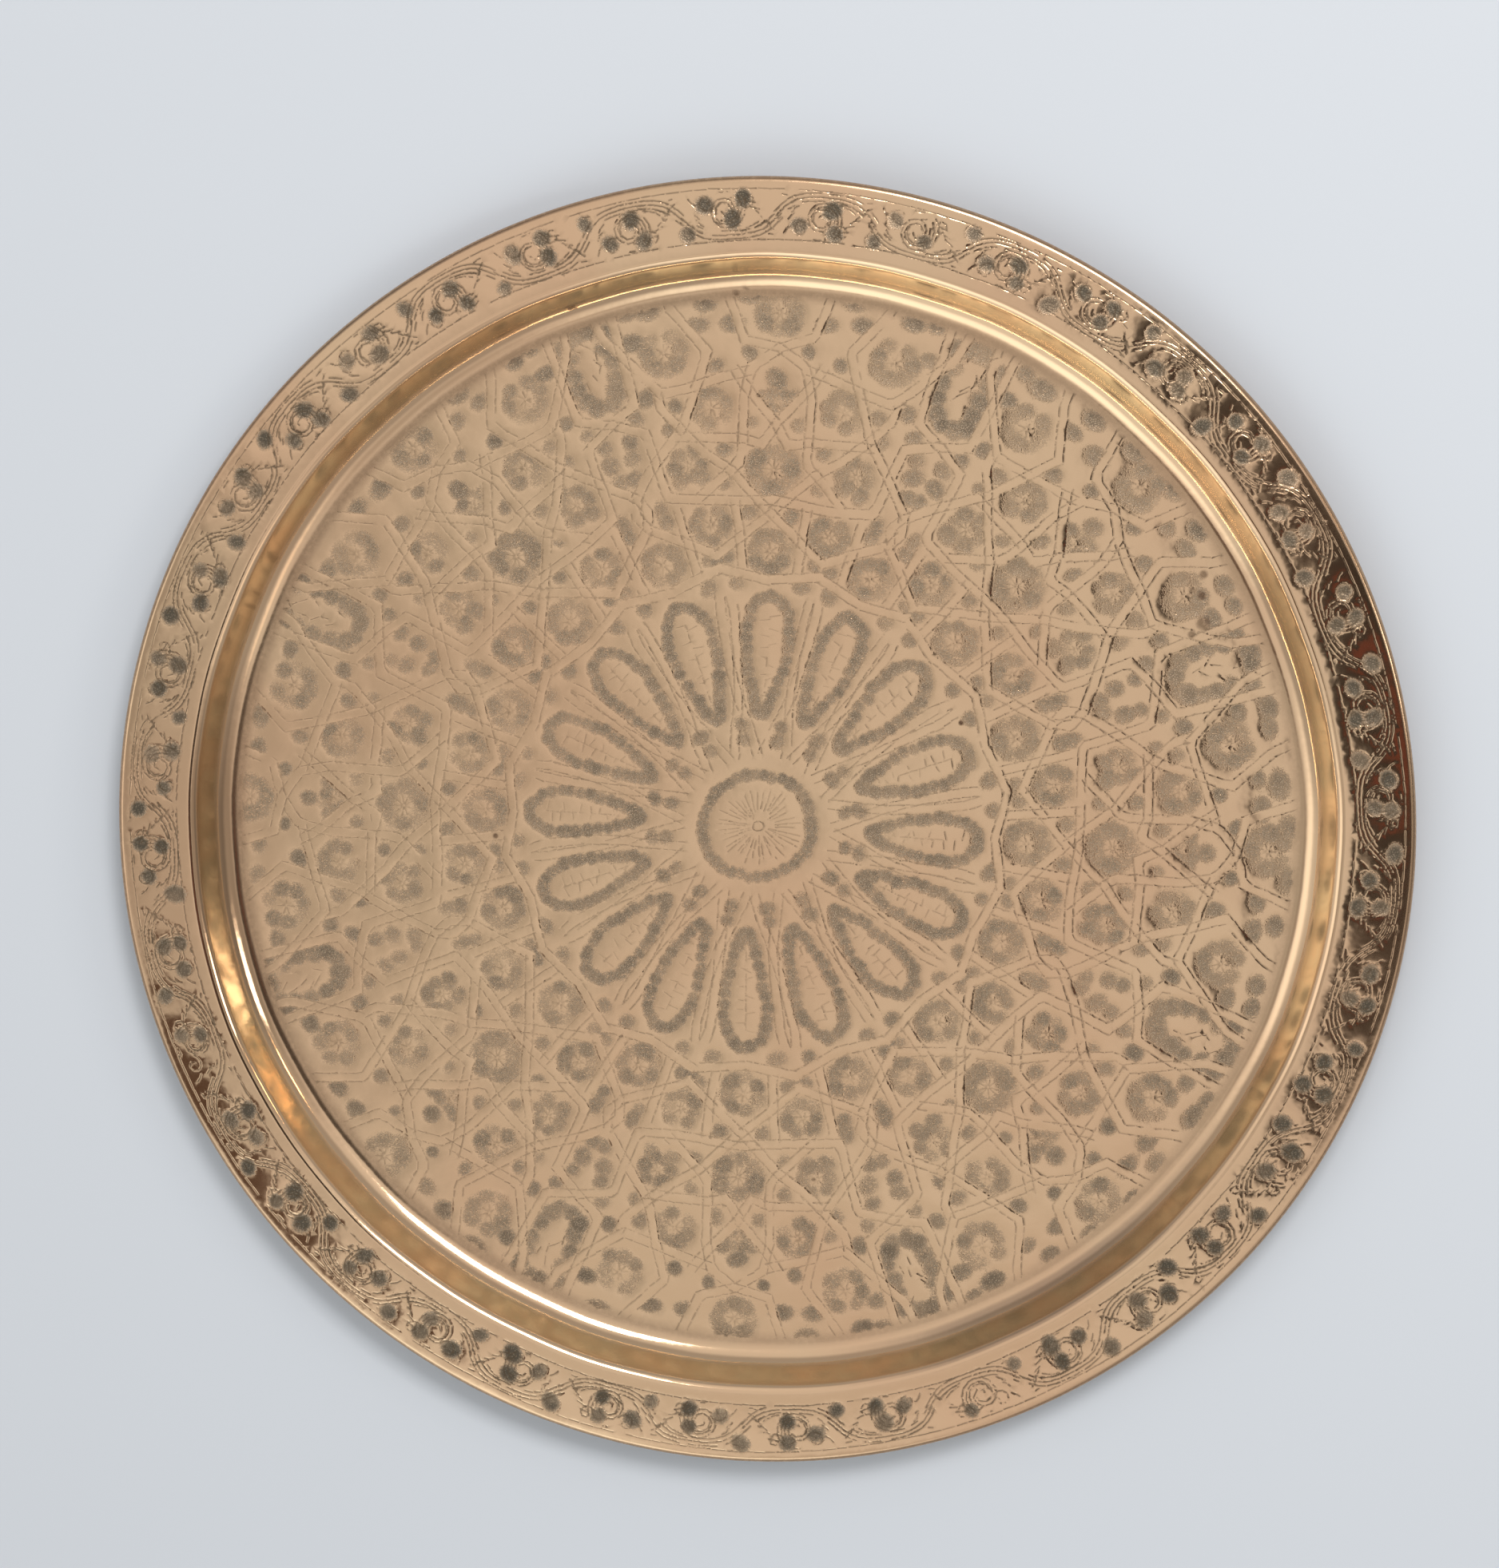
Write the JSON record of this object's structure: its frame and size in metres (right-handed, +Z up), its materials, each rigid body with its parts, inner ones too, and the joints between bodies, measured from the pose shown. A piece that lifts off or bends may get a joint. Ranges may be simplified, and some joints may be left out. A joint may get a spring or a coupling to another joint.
{
  "type": "round tray",
  "caption": "Round chased brass tray with a shallow well, a broad ornamented flange and a wired, turned-under edge.",
  "frame": {"origin": "centre of the flat underside, where the tray rests on a table", "axes": "+Z up out of the well along the tray's axis; the tray is round, so +X and +Y are any two square directions in the plane of the table, with the edge wire's butt joint just below +X"},
  "size_m": [0.4, 0.4, 0.0149],
  "materials": {
    "sheet_brass": "polished, rosy yellow, chased and matted",
    "wire_brass": "drawn wire, dull"
  },
  "bodies": {
    "root": {"tray_body": "sheet_brass", "edge_wire": "wire_brass"}
  },
  "joints": []
}
